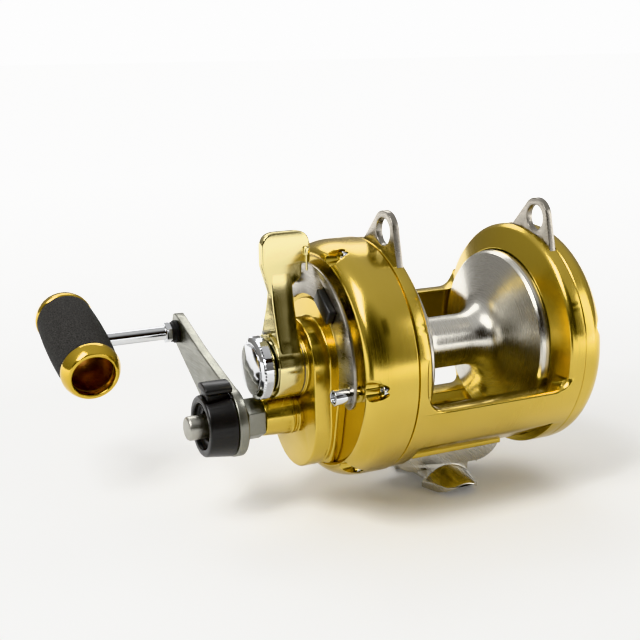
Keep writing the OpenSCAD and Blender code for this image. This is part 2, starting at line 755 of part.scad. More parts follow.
// the plunger that is felt as the lever passes the strike block
module lever_detent() color(pale_gold) on_foot() translate([detent_x, detent_y, 0]) {
    translate([0, 0, 39.5]) cylinder(h = 6.5, r = 0.5);
    translate([0, 0, 46]) cylinder(h = 3, r = 1.3);
    translate([0, 0, 49]) cylinder(h = 0.6, r1 = 1.3, r2 = 0.8);
}

module preset_knob() color(chrome) on_foot() difference() {
    union() {
        rod(-86.2, -84.9, 10.4);
        rod(-90.8, -86.2, 13);
        cone_rod(-92, -90.8, 11.2, 13);
        knurl();
    }
    rod(-90.6, -84, axle_r + run);
}

// the crossed knurl's ridges, kept as short straight splines round the rim
module knurl() for (i = [0:35]) rotate([i * 10, 0, 0]) translate([-90.6, -0.35, 12.6]) cube([4.2, 0.7, 0.7]);

module preset_cap() color(chrome) on_foot()
    turned([[0, -92.7], [6, -92.5], [9.6, -92.15], [9.8, -92], [0, -92]]);

module strike_button() color(black) on_foot() along_strike() {
    translate([-68.6, -7, -3.3]) cube([6.2, 14, 6.6]);
    rod(-62.4, -58, 2.5);
}

module click_button() color(gold) on_foot() at_polar(click_r, click_angle) {
    rod(37, 54.3, click_stem_r);
    rod(54.3, 57, 5);
    cone_rod(57, 57.6, 5, 4.2);
}

module click_pawl() color(steel) on_foot() rotate([click_angle, 0, 0])
    translate([35.6, click_r - 2.1, -1]) cube([1.4, 5, 2]);

frame();
handle_side_plate();
free_side_plate();
gear_housing();
gear_bridge();
shaft_sleeve();
quadrant_plate();
quadrant_screw();
quadrant_spacers();
quadrant_standoff();
harness_lug_left();
harness_lug_right();
lug_screws();
handle_side_screws();
free_side_screws();
reel_foot();
foot_screws();
axle_bearing_right();
pinion_bearing();
crank_bearing_inner();
crank_bearing_outer();
lever_washer();
housing_screws();
lever_seal();
spool();
spool_bearings();
drag_washer();
click_ratchet();
spool_axle();
drive_disc();
pinion_cluster();
fast_gear();
slow_gear();
crank_shaft();
crank_collar();
crank_arm();
shift_housing();
shift_button();
shift_rod();
shift_latch();
knob_post();
post_washers();
post_screw();
grip_core();
grip_hub();
grip_foam();
grip_cap_front();
grip_cap_rear();
drag_lever();
lever_pin();
lever_detent();
preset_knob();
preset_cap();
strike_button();
click_button();
click_pawl();
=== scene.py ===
import json
import math
import bpy
from mathutils import Matrix, Vector


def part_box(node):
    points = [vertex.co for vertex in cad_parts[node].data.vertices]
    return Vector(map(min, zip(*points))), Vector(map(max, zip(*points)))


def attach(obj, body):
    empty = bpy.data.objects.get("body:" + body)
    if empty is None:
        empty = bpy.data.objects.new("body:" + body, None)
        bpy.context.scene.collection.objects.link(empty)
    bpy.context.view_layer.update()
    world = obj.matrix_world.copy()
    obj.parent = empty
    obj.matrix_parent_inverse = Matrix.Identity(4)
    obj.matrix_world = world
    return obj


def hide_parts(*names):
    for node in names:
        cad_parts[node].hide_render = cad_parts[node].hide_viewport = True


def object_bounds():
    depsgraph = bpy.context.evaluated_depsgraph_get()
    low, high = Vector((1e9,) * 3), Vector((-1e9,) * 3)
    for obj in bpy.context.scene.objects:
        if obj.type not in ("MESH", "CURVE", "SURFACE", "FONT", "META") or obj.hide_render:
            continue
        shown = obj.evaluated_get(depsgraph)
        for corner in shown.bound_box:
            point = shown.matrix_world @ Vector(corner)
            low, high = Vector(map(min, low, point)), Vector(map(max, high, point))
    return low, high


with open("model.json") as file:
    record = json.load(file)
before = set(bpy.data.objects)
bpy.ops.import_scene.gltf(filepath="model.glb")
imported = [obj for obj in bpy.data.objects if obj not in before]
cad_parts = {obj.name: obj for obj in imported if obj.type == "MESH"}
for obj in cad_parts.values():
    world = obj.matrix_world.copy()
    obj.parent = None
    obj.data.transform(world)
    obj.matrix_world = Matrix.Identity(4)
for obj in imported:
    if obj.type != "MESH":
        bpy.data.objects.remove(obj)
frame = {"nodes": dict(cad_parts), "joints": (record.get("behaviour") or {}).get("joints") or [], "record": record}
cad_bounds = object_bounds()

# ---------------------------------------------------------------- places and sizes

MM = 0.001
JOINTS = {joint["name"]: joint for joint in frame["joints"]}
SPOOL = Vector(JOINTS["drive_spin"]["pos_m"])     # on the spool axis, mid spool
CRANK = Vector(JOINTS["crank_spin"]["pos_m"])     # on the crank axis
POST = Vector(JOINTS["grip_spin"]["pos_m"])       # where the grip turns on its post
BODY_OF = {node: body for body, nodes in frame["record"]["behaviour"]["bodies"].items() for node in nodes}
SLOT_OF = {part["node"]: part["material_slot"] for part in frame["record"]["subparts"]}

FINE_SIDES = 192            # sides of the big covers and the spool
SMALL_SIDES = 48            # sides of screws and drills
HANDLE_SCREWS = (107, 182, 238, 295, 350, 45)     # degrees round the spool axis
HANDLE_SCALLOP_R = 47.65
HANDLE_SCREW_R = 47.6
FREE_SCREWS = (107, 167, 227, 287, 347, 47)
FREE_SCREW_R = 45.7
CLICK_ANGLE = 202.5         # where the click button slides, from 24 to 27 mm out
STRIKE_R, STRIKE_ANGLE = 33.5, 125


def side_x(node, end):
    """The X of a node's lowest (0) or highest (1) face, in mm."""
    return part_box(node)[end].x / MM


# ---------------------------------------------------------------- shaping tools

def clear_selection():
    """Leaves edit mode with nothing selected."""
    if bpy.context.object and bpy.context.object.mode != "OBJECT":
        bpy.ops.object.mode_set(mode="OBJECT")
    bpy.ops.object.select_all(action="DESELECT")


def take(piece):
    """Makes a piece the only selected and active one."""
    clear_selection()
    piece.select_set(True)
    bpy.context.view_layer.objects.active = piece


def edit(piece):
    """Opens a piece for editing with all of it selected."""
    take(piece)
    bpy.ops.object.mode_set(mode="EDIT")
    bpy.ops.mesh.select_all(action="SELECT")


def named(name):
    """Names the active piece and its mesh."""
    piece = bpy.context.object
    piece.name = name
    piece.data.name = name
    return piece


def joined(active, *others):
    """Makes closed shells one piece, without cutting them where they meet."""
    take(active)
    for other in others:
        other.select_set(True)
    bpy.ops.object.join()


def settle(piece, angle=35):
    """Puts a piece's place into its mesh and smooths it up to its real edges."""
    take(piece)
    bpy.ops.object.transform_apply(location=True, rotation=True, scale=True)
    bpy.ops.object.shade_smooth_by_angle(angle=math.radians(angle))
    return piece


def apply_modifier(piece, kind, **settings):
    """Adds one modifier with its settings and applies it at once."""
    take(piece)
    modifier = piece.modifiers.new(kind.lower(), kind)
    for key, value in settings.items():
        setattr(modifier, key, value)
    bpy.ops.object.modifier_apply(modifier=modifier.name)
    return piece


def bevel(piece, width, segments=3, angle=32):
    """Breaks every edge sharper than an angle, as a deburring wheel does."""
    return apply_modifier(piece, "BEVEL", width=width * MM, segments=segments, limit_method="ANGLE",
                          angle_limit=math.radians(angle), use_clamp_overlap=False, harden_normals=False,
                          miter_outer="MITER_ARC")


def close(piece):
    """Merges doubled places and turns all faces outwards."""
    edit(piece)
    bpy.ops.mesh.remove_doubles(threshold=0.004 * MM)
    bpy.ops.mesh.normals_make_consistent(inside=False)
    bpy.ops.object.mode_set(mode="OBJECT")


def rounded(corners):
    """A closed outline from corners (a, b, radius), with each radius a soft curve."""
    points = []
    for i, (a, b, *radius) in enumerate(corners):
        here = Vector((a, b))
        if not radius:
            points.append(here)
            continue
        before = Vector(corners[i - 1][:2]) - here
        after = Vector(corners[(i + 1) % len(corners)][:2]) - here
        reach = min(radius[0] / math.tan(before.angle(after) / 2), 0.49 * before.length, 0.49 * after.length)
        start, end = here + before.normalized() * reach, here + after.normalized() * reach
        steps = 4 + min(14, int(radius[0]))
        points += [start * (1 - t) ** 2 + here * 2 * t * (1 - t) + end * t ** 2
                   for t in (k / steps for k in range(steps + 1))]
    return points


def turned(name, corners, centre=SPOOL, sides=160):
    """A ring or disc turned about X: corners are (x, radius, corner radius) in mm from centre."""
    clear_selection()
    profile = rounded(corners)
    x, radius = profile[0]
    bpy.ops.mesh.primitive_circle_add(vertices=sides, radius=radius * MM, rotation=(0, math.pi / 2, 0),
                                      location=centre + Vector((x * MM, 0, 0)))
    piece = named(name)
    edit(piece)
    for next_x, next_radius in profile[1:] + profile[:1]:
        bpy.ops.mesh.extrude_edges_move(TRANSFORM_OT_translate={"value": ((next_x - x) * MM, 0, 0)})
        bpy.ops.transform.resize(value=(1, next_radius / radius, next_radius / radius), center_override=centre)
        x, radius = next_x, next_radius
    close(piece)
    return settle(piece)


def lofted(name, outlines):
    """A closed solid through a stack of outlines, each the same number of places."""
    clear_selection()
    rings = []
    for places in outlines:
        bpy.ops.mesh.primitive_circle_add(vertices=len(places))
        rings.append(bpy.context.object)
        for vertex, place in zip(rings[-1].data.vertices, places):
            vertex.co = place
    for ring in rings:
        ring.select_set(True)
    bpy.ops.object.join()
    piece = named(name)
    edit(piece)
    bpy.ops.mesh.bridge_edge_loops()
    bpy.ops.mesh.select_all(action="DESELECT")
    bpy.ops.mesh.select_mode(type="EDGE")
    bpy.ops.mesh.select_non_manifold()
    bpy.ops.mesh.fill_holes(sides=0)
    close(piece)
    return piece


def across_x(name, x0, x1, corners):
    """A plate between two X: corners are (y, z, corner radius) in mm from the spool axis."""
    outline = rounded(corners)
    return lofted(name, [[SPOOL + Vector((x * MM - SPOOL.x, y * MM, z * MM)) for y, z in outline]
                         for x in (x0, x1)])


def across_y(name, stations):
    """A solid between several Y: each station is (y, corners), corners (x, z, corner radius) in mm."""
    return lofted(name, [[SPOOL + Vector((x * MM - SPOOL.x, y * MM, z * MM)) for x, z in rounded(corners)]
                         for y, corners in stations])


def pick_points(piece, wanted):
    """Selects, in edit mode, the points whose place passes a test."""
    edit(piece)
    bpy.ops.mesh.select_all(action="DESELECT")
    bpy.ops.mesh.select_mode(type="VERT")
    bpy.ops.object.mode_set(mode="OBJECT")
    for vertex in piece.data.vertices:
        vertex.select = wanted(vertex.co)
    bpy.ops.object.mode_set(mode="EDIT")


def eased(node, name, width, segments=3, angle=32):
    """A welded copy of a CAD node, with its edges broken by a small radius."""
    clear_selection()
    piece = bpy.data.objects.new(name, frame["nodes"][node].data.copy())
    bpy.context.scene.collection.objects.link(piece)
    piece.data.materials.clear()
    edit(piece)
    bpy.ops.mesh.customdata_custom_splitnormals_clear()
    bpy.ops.mesh.remove_doubles(threshold=0.002 * MM)
    bpy.ops.mesh.dissolve_limited(angle_limit=math.radians(0.5))
    bpy.ops.object.mode_set(mode="OBJECT")
    return settle(bevel(piece, width, segments, angle))


def combine(piece, operation, others):
    """Cuts other pieces out of a piece, or adds them to it, and uses them up."""
    for other in others:
        apply_modifier(piece, "BOOLEAN", object=other, operation=operation, solver="EXACT")
        bpy.data.objects.remove(other)
    return piece


def cut(piece, *cutters):
    """Takes the shapes of the cutters out of a piece."""
    return combine(piece, "DIFFERENCE", cutters)


def drill(centre, x0, x1, radius, sides=SMALL_SIDES):
    """A cutter: a rod along X from x0 to x1, in mm."""
    clear_selection()
    bpy.ops.mesh.primitive_cylinder_add(vertices=sides, radius=radius * MM, depth=(x1 - x0) * MM,
                                        rotation=(0, math.pi / 2, 0),
                                        location=centre + Vector(((x0 + x1) / 2 * MM, 0, 0)))
    return named("cutter")


def polar(radius, degrees):
    """The place at a radius in mm and an angle round the spool axis."""
    angle = math.radians(degrees)
    return SPOOL + Vector((0, radius * math.cos(angle), radius * math.sin(angle))) * MM


def paint(piece, material):
    """Gives the whole of a piece one material."""
    piece.data.materials.clear()
    piece.data.materials.append(material)


def stands_for(piece, *nodes, finish=None):
    """Rides on the nodes' body, hides them and takes their slot."""
    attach(piece, BODY_OF[nodes[0]])
    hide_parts(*nodes)
    paint(piece, finish or FINISHES[SLOT_OF[nodes[0]]])
    return piece


# ---------------------------------------------------------------- materials

def linear(colour):
    """An sRGB hex colour as linear light."""
    parts = [int(colour[i:i + 2], 16) / 255 for i in (1, 3, 5)]
    return [c / 12.92 if c <= 0.04045 else ((c + 0.055) / 1.055) ** 2.4 for c in parts] + [1.0]


def repeat(size_mm):
    """The scale that makes a pattern's features a real size in mm."""
    return 1000 / size_mm


def add(tree, kind, links=(), values=(), **settings):
    """Adds one node with its settings, values and incoming links."""
    made = tree.nodes.new(kind)
    for key, value in settings.items():
        setattr(made, key, value)
    for socket, value in values:
        made.inputs[socket].default_value = value
    for socket, source in links:
        tree.links.new(source, made.inputs[socket])
    return made


def new_material(name, **values):
    """An empty material with one Principled shader, its inputs named in lower case."""
    material = bpy.data.materials.new(name)
    material.use_nodes = True
    tree = material.node_tree
    tree.nodes.clear()
    inputs = [(key.replace("_", " ").title().replace("Ior", "IOR"), value) for key, value in values.items()]
    shader = add(tree, "ShaderNodeBsdfPrincipled", values=inputs)
    add(tree, "ShaderNodeOutputMaterial", links=[("Surface", shader.outputs[0])])
    return material, tree, shader


def object_place(tree, centre=Vector((0, 0, 0)), stretch=(1, 1, 1)):
    """Object coordinates measured from a centre, drawn out along one or more axes."""
    where = add(tree, "ShaderNodeTexCoord")
    moved = add(tree, "ShaderNodeMapping", [("Vector", where.outputs["Object"])],
                [("Location", [-c * s for c, s in zip(centre, stretch)]), ("Scale", stretch)])
    return moved.outputs[0]


def finished(tree, shader, tone, colours, height, depth_mm, strength=1.0, gloss=None, gloss_range=()):
    """Two colours blended by tone, relief from height and, where gloss is given, changing roughness."""
    mix = add(tree, "ShaderNodeMix", [("Factor", tone)], [(6, linear(colours[0])), (7, linear(colours[1]))],
              data_type="RGBA")
    tree.links.new(mix.outputs[2], shader.inputs["Base Color"])
    relief = add(tree, "ShaderNodeBump", [("Height", height)],
                 [("Strength", strength), ("Distance", depth_mm * MM)])
    tree.links.new(relief.outputs[0], shader.inputs["Normal"])
    if gloss:
        low, high, from_low, from_high = gloss_range
        ranged = add(tree, "ShaderNodeMapRange", [("Value", gloss)],
                     [("From Min", from_low), ("From Max", from_high), ("To Min", low), ("To Max", high)])
        tree.links.new(ranged.outputs[0], shader.inputs["Roughness"])


def lathe_rings(tree, centre, pitch_mm):
    """Noise that runs in rings round the X axis through centre, on rims and on faces."""
    parts = add(tree, "ShaderNodeSeparateXYZ", [("Vector", object_place(tree, centre))])
    across = add(tree, "ShaderNodeCombineXYZ", [("X", parts.outputs["Y"]), ("Y", parts.outputs["Z"])])
    radius = add(tree, "ShaderNodeVectorMath", [(0, across.outputs[0])], operation="LENGTH")
    run = add(tree, "ShaderNodeMath", [(0, radius.outputs["Value"]), (1, parts.outputs["X"])], operation="ADD")
    return add(tree, "ShaderNodeTexNoise", [("W", run.outputs[0])],
               [("Scale", repeat(pitch_mm)), ("Detail", 2.0)], noise_dimensions="1D").outputs["Fac"]


def turned_metal(name, colour, shade, roughness, centre, pitch_mm=0.25, depth_mm=0.0006):
    """A lathe-turned, polished metal: rings too fine to count, and faint handling marks."""
    material, tree, shader = new_material(name, metallic=1.0, roughness=roughness)
    rings = lathe_rings(tree, centre, pitch_mm)
    haze = add(tree, "ShaderNodeTexNoise", [("Vector", object_place(tree))],
               [("Scale", repeat(22)), ("Detail", 3.0)]).outputs["Fac"]
    both = add(tree, "ShaderNodeMath", [(0, rings), (1, haze)], operation="MULTIPLY").outputs[0]
    finished(tree, shader, haze, (colour, shade), rings, depth_mm,
             gloss=both, gloss_range=(roughness * 0.75, roughness * 1.5, 0.1, 0.5))
    return material


def brushed_metal(name, colour, shade, roughness, along, grain_mm=0.18, depth_mm=0.002):
    """A ground plate: short straight scratches along one direction."""
    material, tree, shader = new_material(name, metallic=1.0, roughness=roughness)
    stretch = [0.03 if axis == along else 1.0 for axis in "XYZ"]
    scratches = add(tree, "ShaderNodeTexNoise", [("Vector", object_place(tree, stretch=stretch))],
                    [("Scale", repeat(grain_mm)), ("Detail", 4.0)]).outputs["Fac"]
    haze = add(tree, "ShaderNodeTexNoise", [("Vector", object_place(tree))],
               [("Scale", repeat(9)), ("Detail", 3.0)]).outputs["Fac"]
    both = add(tree, "ShaderNodeMath", [(0, scratches), (1, haze)], operation="MULTIPLY").outputs[0]
    finished(tree, shader, scratches, (colour, shade), scratches, depth_mm,
             gloss=both, gloss_range=(roughness * 0.7, roughness * 1.5, 0.1, 0.5))
    return material


def grained_plastic(name, colour, shade, roughness, grain_mm, depth_mm, coat=0.0):
    """A moulded or ground soft surface: a fine even grain with slight changes of gloss."""
    material, tree, shader = new_material(name, metallic=0.0, roughness=roughness, coat_weight=coat)
    place = object_place(tree)
    grain = add(tree, "ShaderNodeTexNoise", [("Vector", place)],
                [("Scale", repeat(grain_mm)), ("Detail", 2.0)]).outputs["Fac"]
    haze = add(tree, "ShaderNodeTexNoise", [("Vector", place)],
               [("Scale", repeat(6)), ("Detail", 3.0)]).outputs["Fac"]
    finished(tree, shader, haze, (colour, shade), grain, depth_mm,
             gloss=haze, gloss_range=(roughness * 0.85, min(1.0, roughness * 1.15), 0, 1))
    return material


def foam_finish():
    """Closed-cell EVA foam, ground to shape: matt charcoal, its cut cells show as fine pits."""
    material, tree, shader = new_material("eva_foam_ground", metallic=0.0, roughness=0.9, specular_ior_level=0.25)
    place = object_place(tree)
    cells = add(tree, "ShaderNodeTexVoronoi", [("Vector", place)], [("Scale", repeat(0.55))]).outputs["Distance"]
    speckle = add(tree, "ShaderNodeTexNoise", [("Vector", place)],
                  [("Scale", repeat(0.5)), ("Detail", 3.0)]).outputs["Fac"]
    tone = add(tree, "ShaderNodeMapRange", [("Value", speckle)],
               [("From Min", 0.35), ("From Max", 0.7), ("To Min", 0), ("To Max", 1)]).outputs[0]
    finished(tree, shader, tone, ("#302F2E", "#4A4947"), cells, 0.12, 0.7)
    return material


def carbon_finish():
    """Woven carbon friction lining: a checkered weave of flat tows, dry and dull."""
    material, tree, shader = new_material("carbon_friction_lining", metallic=0.0, roughness=0.6)
    weave = add(tree, "ShaderNodeTexChecker", [("Vector", object_place(tree))],
                [("Scale", repeat(1.6))]).outputs["Fac"]
    finished(tree, shader, weave, ("#161616", "#2A2A2B"), weave, 0.03)
    return material


# Aluminium, machined, polished and dyed gold by anodising: a deep warm mirror with soft turning rings.
gold = turned_metal("anodised_aluminium_gold", "#CEB564", "#C4A953", 0.2, SPOOL)
# The same anodising on the small caps of the grip.
cap_gold = turned_metal("anodised_aluminium_gold_grip", "#CEB158", "#C3A348", 0.16, POST)
# Aluminium anodised a paler champagne gold on the drag lever.
lever_gold = turned_metal("anodised_aluminium_champagne", "#DCD09E", "#D2C48C", 0.17, SPOOL)
# Aluminium turned and buffed, as on the spool: a silver mirror with fine rings.
spool_finish = turned_metal("turned_aluminium_buffed", "#CFCCC4", "#C3C0B8", 0.25, SPOOL, 0.22, 0.0004)
# Die-cast aluminium, buffed bright on the foot: broad soft marks round a line far below it.
foot_finish = turned_metal("cast_aluminium_buffed", "#CFCCC4", "#C1BEB5", 0.24,
                           SPOOL + Vector((0, 0, -0.2)), 2.5, 0.0006)
# Stainless plate, ground along its length: fine straight scratches.
stainless = brushed_metal("stainless_plate_ground", "#A5A096", "#86817A", 0.3, "Y")
# Brass or steel plated with chromium and buffed: a cold, clean mirror.
chrome = turned_metal("chromium_plate", "#DADBDC", "#CFD0D2", 0.09, SPOOL, 0.4, 0.0003)
# Forged stainless, glass-bead blasted, then brushed: a soft grey sheen.
crank_steel = brushed_metal("stainless_forging_satin", "#9A998F", "#7C7B73", 0.34, "Y", 0.3, 0.003)
# Machined carbon steel with a light oil film.
machined_steel = turned_metal("machined_steel", "#A4A4A2", "#8C8C8A", 0.28, CRANK, 0.2, 0.001)
# Ground and lapped bearing steel.
bearing_steel = turned_metal("bearing_steel_ground", "#B4B6B8", "#A2A4A6", 0.18, SPOOL, 0.2, 0.0005)
# Aluminium bronze, hobbed and machined: warm, duller than the gold.
bronze = turned_metal("machined_bronze", "#B4823F", "#9A6A30", 0.3, CRANK, 0.2, 0.001)
# Machined aluminium casting inside the housing.
bridge_finish = turned_metal("machined_casting", "#B2B2B0", "#A0A09E", 0.35, SPOOL, 0.4, 0.002)
# Glass-filled nylon from a spark-eroded mould: near-black satin with a very fine grain.
black_nylon = grained_plastic("moulded_nylon_black", "#1B1A1A", "#232221", 0.36, 0.3, 0.012, 0.12)
# Nitrile rubber, moulded: black and soft.
black_rubber = grained_plastic("nitrile_rubber_black", "#121212", "#1C1C1C", 0.6, 0.4, 0.01)
# Aluminium turned and left satin on the shift button.
satin_button = turned_metal("turned_aluminium_satin", "#B8B6AE", "#A6A49C", 0.34, CRANK, 0.3, 0.002)

FINISHES = {
    "gold_anodised": gold, "grip_cap_gold": cap_gold, "lever_gold": lever_gold,
    "polished_aluminium": spool_finish, "cast_aluminium": bridge_finish, "stainless": stainless,
    "chrome": chrome, "crank_steel": crank_steel, "machined_steel": machined_steel,
    "bearing_steel": bearing_steel, "bronze": bronze, "black_moulding": black_nylon,
    "black_rubber": black_rubber, "drag_lining": carbon_finish(), "satin_button": satin_button,
    "foam": foam_finish(),
}

for node, part in frame["nodes"].items():
    paint(part, FINISHES[SLOT_OF[node]])

# ---------------------------------------------------------------- pieces

def window(side, low, high, radius, reach=33.9):
    """The cutter for one window in the frame's wall, flaring where it meets the outside."""
    def opening(grow):
        turn = radius + grow
        return [(-reach - grow, low - grow, turn), (reach + grow, low - grow, turn),
                (reach + grow, high + grow, turn), (-reach - grow, high + grow, turn)]
    flare = ((0, 0), (44, 0), (46.3, 0), (47.2, 0.35), (48.1, 1.0), (49, 1.9), (50.4, 3.4), (53, 6.4))
    return across_y("cutter", [(side * y, opening(grow)) for y, grow in flare])


def frame_piece():
    """The one-piece frame: a windowed wall with broad rounded edges, between two coned rings."""
    seam = side_x("frame", 1)
    lip = seam - 0.02           # the rings end just inside the wall, so no two faces lie on each other
    piece = turned("frame_body", [(-seam, 41), (-seam, 50), (seam, 50), (seam, 41)], sides=224)
    # the front, upper rear and lower rear windows
    cut(piece, window(-1, -14.5, 75, 8), window(1, 14, 75, 8), window(1, -33, -7, 6))
    # the open top, and the flattened underside
    cut(piece, across_x("cutter", -36.1, 36.1, [(-60, -5), (0, -5), (0, 22), (60, 22), (60, 60), (-60, 60)]))
    cut(piece, across_x("cutter", -33.3, 33.3, [(-38.3, -32.2), (-14, -45), (32, -45), (32, -60), (-60, -60),
                                                (-60, -32.2)]))
    pad = across_x("pad", -23, 23, [(-14, -47), (24, -47), (24, -43), (-14, -43)])
    rings = [turned("ring", [(30.2 * side, 39), (33.75 * side, 47.9), (34.1 * side, 48.6), (35.3 * side, 49.7),
                             (36.1 * side, 49.97), (lip * side, 49.97), (lip * side, 39)], sides=224)
             for side in (-1, 1)]
    combine(piece, "UNION", (pad, *rings))
    # pockets for the foot's four screws
    for x in (-16, 16):
        for y in (2, 17):
            clear_selection()
            bpy.ops.mesh.primitive_cylinder_add(vertices=40, radius=3.2 * MM, depth=10 * MM,
                                                location=SPOOL + Vector((x, y, -38)) * MM)
            cut(piece, named("cutter"))
    edit(piece)
    bpy.ops.mesh.remove_doubles(threshold=0.03 * MM)
    bpy.ops.mesh.dissolve_degenerate(threshold=0.03 * MM)
    bpy.ops.object.mode_set(mode="OBJECT")
    return stands_for(settle(bevel(piece, 0.35, 2, 40), 40), "frame")


def handle_side_plate():
    """The big cover on the crank side: a soft shoulder, six scalloped screw pockets, a recessed floor."""
    seam, rim = side_x("frame", 0), side_x("handle_side_plate", 0)
    floor_face, inner, shoulder_x = -60.5, -57.5, -51.5
    shoulder = [(shoulder_x - (shoulder_x - rim) * math.sin(t), 44.9 + 5.6 * math.cos(t))
                for t in (math.radians(5 * k) for k in range(1, 17))]
    piece = turned("handle_side_cover", [
        (inner, 8), (inner, 42), (seam, 42), (seam, 49.4), (seam - 0.6, 50.0), (seam - 1.2, 50.5, 0.4),
        (shoulder_x, 50.5), *shoulder, (rim, 44.9, 0.3), (rim + 0.9, 43.9, 0.4), (floor_face, 43.7, 0.8),
        (floor_face, 8)], sides=FINE_SIDES)
    for angle in HANDLE_SCREWS:
        cut(piece, *(drill(polar(HANDLE_SCALLOP_R, angle + turn), rim - 2, -54, 2.6) for turn in (-1.5, 1.5)))
    # the strike button's stem slides in this hole
    cut(piece, drill(polar(STRIKE_R, STRIKE_ANGLE), floor_face - 1, inner + 1, 2.7))
    return stands_for(settle(bevel(piece, 0.25, 2, 40)), "handle_side_plate")


def side_screws():
    """Six cap screws with round sockets, deep in the scallops of the handle side cover."""
    clear_selection()
    screws = [turned("cap_screw", [(-54.9, 0.02), (-54.9, 1.1), (-56.4, 1.25, 0.1), (-56.4, 2.3, 0.3),
                                   (-53.2, 2.3), (-53.2, 0.02)],
                     centre=polar(HANDLE_SCREW_R, angle), sides=SMALL_SIDES)
              for angle in HANDLE_SCREWS]
    joined(*screws)
    return stands_for(settle(named("handle_side_cap_screws")), "handle_side_screws")


def free_side_plate():
    """The smooth cover on the free side, with six screw pockets and the click button's slot."""
    seam = side_x("frame", 1)
    crown = [(44 + 9.3 * math.sin(t), 38 + 12 * math.cos(t)) for t in (math.radians(6 * k) for k in range(15))]
    piece = turned("free_side_cover", [
        (51, 0.02), (50.6, 34), (48.5, 42), (seam, 42), (seam, 49.6), (seam + 0.5, 50), *crown, (54, 20, 60),
        (54, 0.02)], sides=FINE_SIDES)
    for angle in FREE_SCREWS:
        cut(piece, drill(polar(FREE_SCREW_R, angle), 46, 58, 3.4))
    for radius in (24, 25.5, 27):
        cut(piece, drill(polar(radius, CLICK_ANGLE), 42, 58, 2.56))
    return stands_for(settle(bevel(piece, 0.25, 2, 40)), "free_side_plate")


def preset_knob():
    """The drag preset knob: a domed face inside a bright chamfer, and a diamond knurl round the rim."""
    rows, sides, groove_r, peak_r = 8, 120, 12.75, 13.3
    back, face = side_x("preset_knob", 0), side_x("preset_knob", 1)
    low, high = back + 1.3, back + 5.6
    band = [(low + (high - low) * row / rows, groove_r) for row in range(rows + 1)]
    piece = turned("preset_knob_knurled", [
        (low - 1.1, 4), (low - 1.15, 9.6, 0.3), (low - 1.0, 11.0, 0.4), (low - 0.3, 12.5, 0.3), *band,
        (high + 0.3, 12.3, 0.2), (high + 0.4, 10.5, 0.3), (face, 10.4, 0.2), (face, 3.1), (low + 1, 3.1)],
        sides=sides)
    step_x, step_angle = (high - low) / rows, math.tau / sides

    def is_peak(place):
        radius = math.hypot(place.y - SPOOL.y, place.z - SPOOL.z)
        row = (place.x / MM - low) / step_x
        turn = math.atan2(place.z - SPOOL.z, place.y - SPOOL.y) / step_angle
        return radius > (groove_r - 0.15) * MM and 0.5 < row < rows - 0.5 and (round(row) + round(turn)) % 2 == 0

    pick_points(piece, is_peak)
    bpy.ops.transform.resize(value=(1, peak_r / groove_r, peak_r / groove_r), center_override=SPOOL)
    bpy.ops.object.mode_set(mode="OBJECT")
    return stands_for(settle(piece, 20), "preset_knob")


def preset_cap():
    """The knob's polished face, very slightly domed."""
    return stands_for(turned("preset_knob_face", [
        (-92.7, 0.02), (-92.62, 5, 4), (-92.1, 10.3, 0.3), (-91.9, 10.3), (-91.9, 0.02)], sides=120), "preset_cap")


def spool_piece():
    """The spool: a slim arbor that flares into two deep flanges with crowned, polished rims."""
    half = [(17.9, 11.5, 13), (26.1, 37.2, 0.25), (27.0, 38.1, 0.4), (28.2, 38.45, 0.6), (32.0, 38.5, 0.3),
            (32.4, 38.0, 0.3)]
    hub = [(32.4, 34, 0.5), (28.6, 16, 2), (31.1, 14, 0.5), (37, 14, 0.3), (37, 8.1, 0.2)]
    left = [(-x, r, fillet) for x, r, fillet in reversed(half)]
    return stands_for(turned("spool_turned", [(-32.4, 8.1, 0.2), *left, *half, *hub], sides=FINE_SIDES), "spool")


def drag_lever():
    """The drag lever: a flat paddle with a bright bevel all round, on a stem that spreads into the hub."""
    low, high = side_x("drag_lever", 0), side_x("drag_lever", 1)
    top = (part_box("drag_lever")[1].z - SPOOL.z) / MM
    edge = dict(width=0.95, segments=4, angle=50)
    paddle = [(-83.2, 26), (-73.8, 26), (-73.8, 33.8, 1.5), (-69.5, 36.5, 3), (-69.2, 42.4, 0.6),
              (high, 42.4, 1.6), (high, top, 6.5), (low, top, 6.5), (low, 42.5, 9), (-83.2, 30, 14)]
    blade = bevel(across_y("lever_paddle", [(-3.4, paddle), (1, paddle)]), **edge)
    stem = across_x("lever_stem", -83.25, -73.75, [
        (-3.37, 50), (-3.37, 32, 60), (-9.2, 13, 30), (-13.6, 2.8), (13.6, 2.8), (8.4, 13, 30), (0.97, 30, 40),
        (0.97, 50)])
    cut(bevel(stem, **edge), drill(SPOOL, -90, -70, 10, 96))
    hub = turned("lever_hub", [(-84.5, 11.0, 0.2), (-84.5, 13.8, 0.6), (-73.7, 13.8, 0.4), (-73.7, 6.96),
                               (-84.0, 6.96), (-84.0, 11.0)])
    joined(hub, blade, stem)
    return stands_for(settle(named("drag_lever_forged")), "drag_lever")


